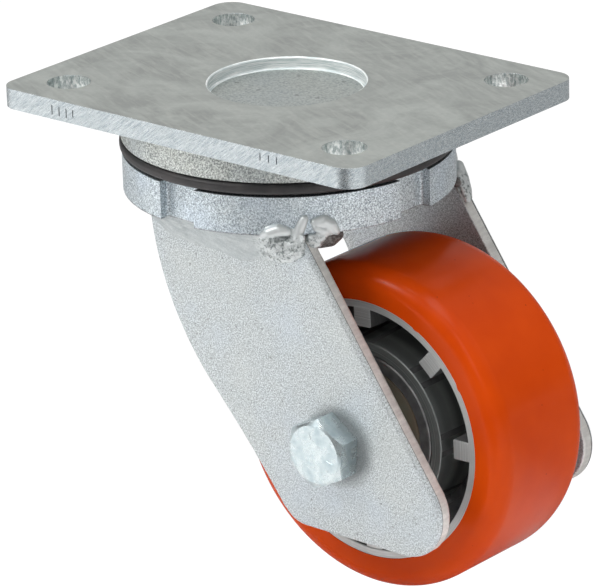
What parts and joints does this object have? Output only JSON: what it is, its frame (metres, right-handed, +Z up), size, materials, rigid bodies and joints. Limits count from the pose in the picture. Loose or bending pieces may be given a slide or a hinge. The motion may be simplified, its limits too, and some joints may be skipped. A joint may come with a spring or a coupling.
{
  "type": "swivel castor",
  "caption": "Heavy-duty swivel castor: bolt-on top plate, notched swivel ring, welded flat fork legs and an orange polyurethane wheel on a through bolt.",
  "frame": {"origin": "centre of the top plate's top face, on the swivel axis", "axes": "+Z up, out of the top plate; +X along the plate's long side, the way the wheel trails; +Y along the axle, towards its nut"},
  "size_m": [0.1616, 0.105, 0.1433],
  "materials": {
    "zinc_plate": "galvanised rolled plate, matte with brushed and mottled streaks",
    "zinc_cast": "fine-grained shot-blasted and zinc-plated steel",
    "weld_metal": "zinc-plated weld bead, shiny and lumpy",
    "zinc_bolt": "bright bluish zinc-plated fastener",
    "bearing_steel": "ground bearing steel",
    "bearing_shield": "oiled pressed sheet steel, olive brown",
    "seal_rubber": "black rubber, slightly glossy",
    "orange_tread": "semi-gloss orange polyurethane",
    "cast_core": "cast aluminium with a machined satin rim"
  },
  "bodies": {
    "plate": {"top_plate": "zinc_plate", "swivel_race_upper": "bearing_steel", "swivel_seal": "seal_rubber", "kingpin": "bearing_steel", "kingpin_nut": "zinc_cast", "swivel_cone_lower": "bearing_steel"},
    "fork": {"fork_crown": "zinc_cast", "swivel_race_fork": "bearing_steel", "swivel_cup_lower": "bearing_steel", "fork_leg_left": "zinc_cast", "fork_leg_right": "zinc_cast", "weld_outer_left": "weld_metal", "weld_outer_right": "weld_metal", "weld_inner_left": "weld_metal", "weld_inner_right": "weld_metal", "axle_bolt": "zinc_bolt", "axle_nut": "zinc_bolt", "axle_tube": "bearing_steel", "axle_spacer_left": "bearing_steel", "axle_spacer_right": "bearing_steel", "bearing_inner_left": "bearing_steel", "bearing_inner_right": "bearing_steel"},
    "wheel": {"tyre": "orange_tread", "wheel_core": "cast_core", "bearing_outer_left": "bearing_steel", "bearing_outer_right": "bearing_steel", "bearing_shield_left_in": "bearing_shield", "bearing_shield_left_out": "bearing_shield", "bearing_shield_right_in": "bearing_shield", "bearing_shield_right_out": "bearing_shield"},
    "upper_balls": {"swivel_balls_upper": "bearing_steel"},
    "lower_balls": {"swivel_balls_lower": "bearing_steel"},
    "left_balls": {"bearing_balls_left": "bearing_steel"},
    "right_balls": {"bearing_balls_right": "bearing_steel"}
  },
  "joints": [
    {"name": "swivel", "type": "hinge", "parent": "plate", "child": "fork", "pos_m": [0, 0, -0.025], "axis": [0, 0, 1], "continuous": true},
    {"name": "wheel_spin", "type": "hinge", "parent": "fork", "child": "wheel", "pos_m": [0.0441, 0, -0.0933], "axis": [0, 1, 0], "continuous": true},
    {"name": "upper_balls_turn", "type": "hinge", "parent": "plate", "child": "upper_balls", "pos_m": [0, 0, -0.017], "axis": [0, 0, 1], "continuous": true},
    {"name": "lower_balls_turn", "type": "hinge", "parent": "plate", "child": "lower_balls", "pos_m": [0, 0, -0.0364], "axis": [0, 0, 1], "continuous": true},
    {"name": "left_balls_turn", "type": "hinge", "parent": "fork", "child": "left_balls", "pos_m": [0.0441, -0.0134, -0.0933], "axis": [0, 1, 0], "continuous": true},
    {"name": "right_balls_turn", "type": "hinge", "parent": "fork", "child": "right_balls", "pos_m": [0.0441, 0.0134, -0.0933], "axis": [0, 1, 0], "continuous": true}
  ],
  "couplings": [
    {"joint": "upper_balls_turn", "follows": "swivel", "ratio": 0.5},
    {"joint": "lower_balls_turn", "follows": "swivel", "ratio": 0.555},
    {"joint": "left_balls_turn", "follows": "wheel_spin", "ratio": 0.618},
    {"joint": "right_balls_turn", "follows": "wheel_spin", "ratio": 0.618}
  ]
}
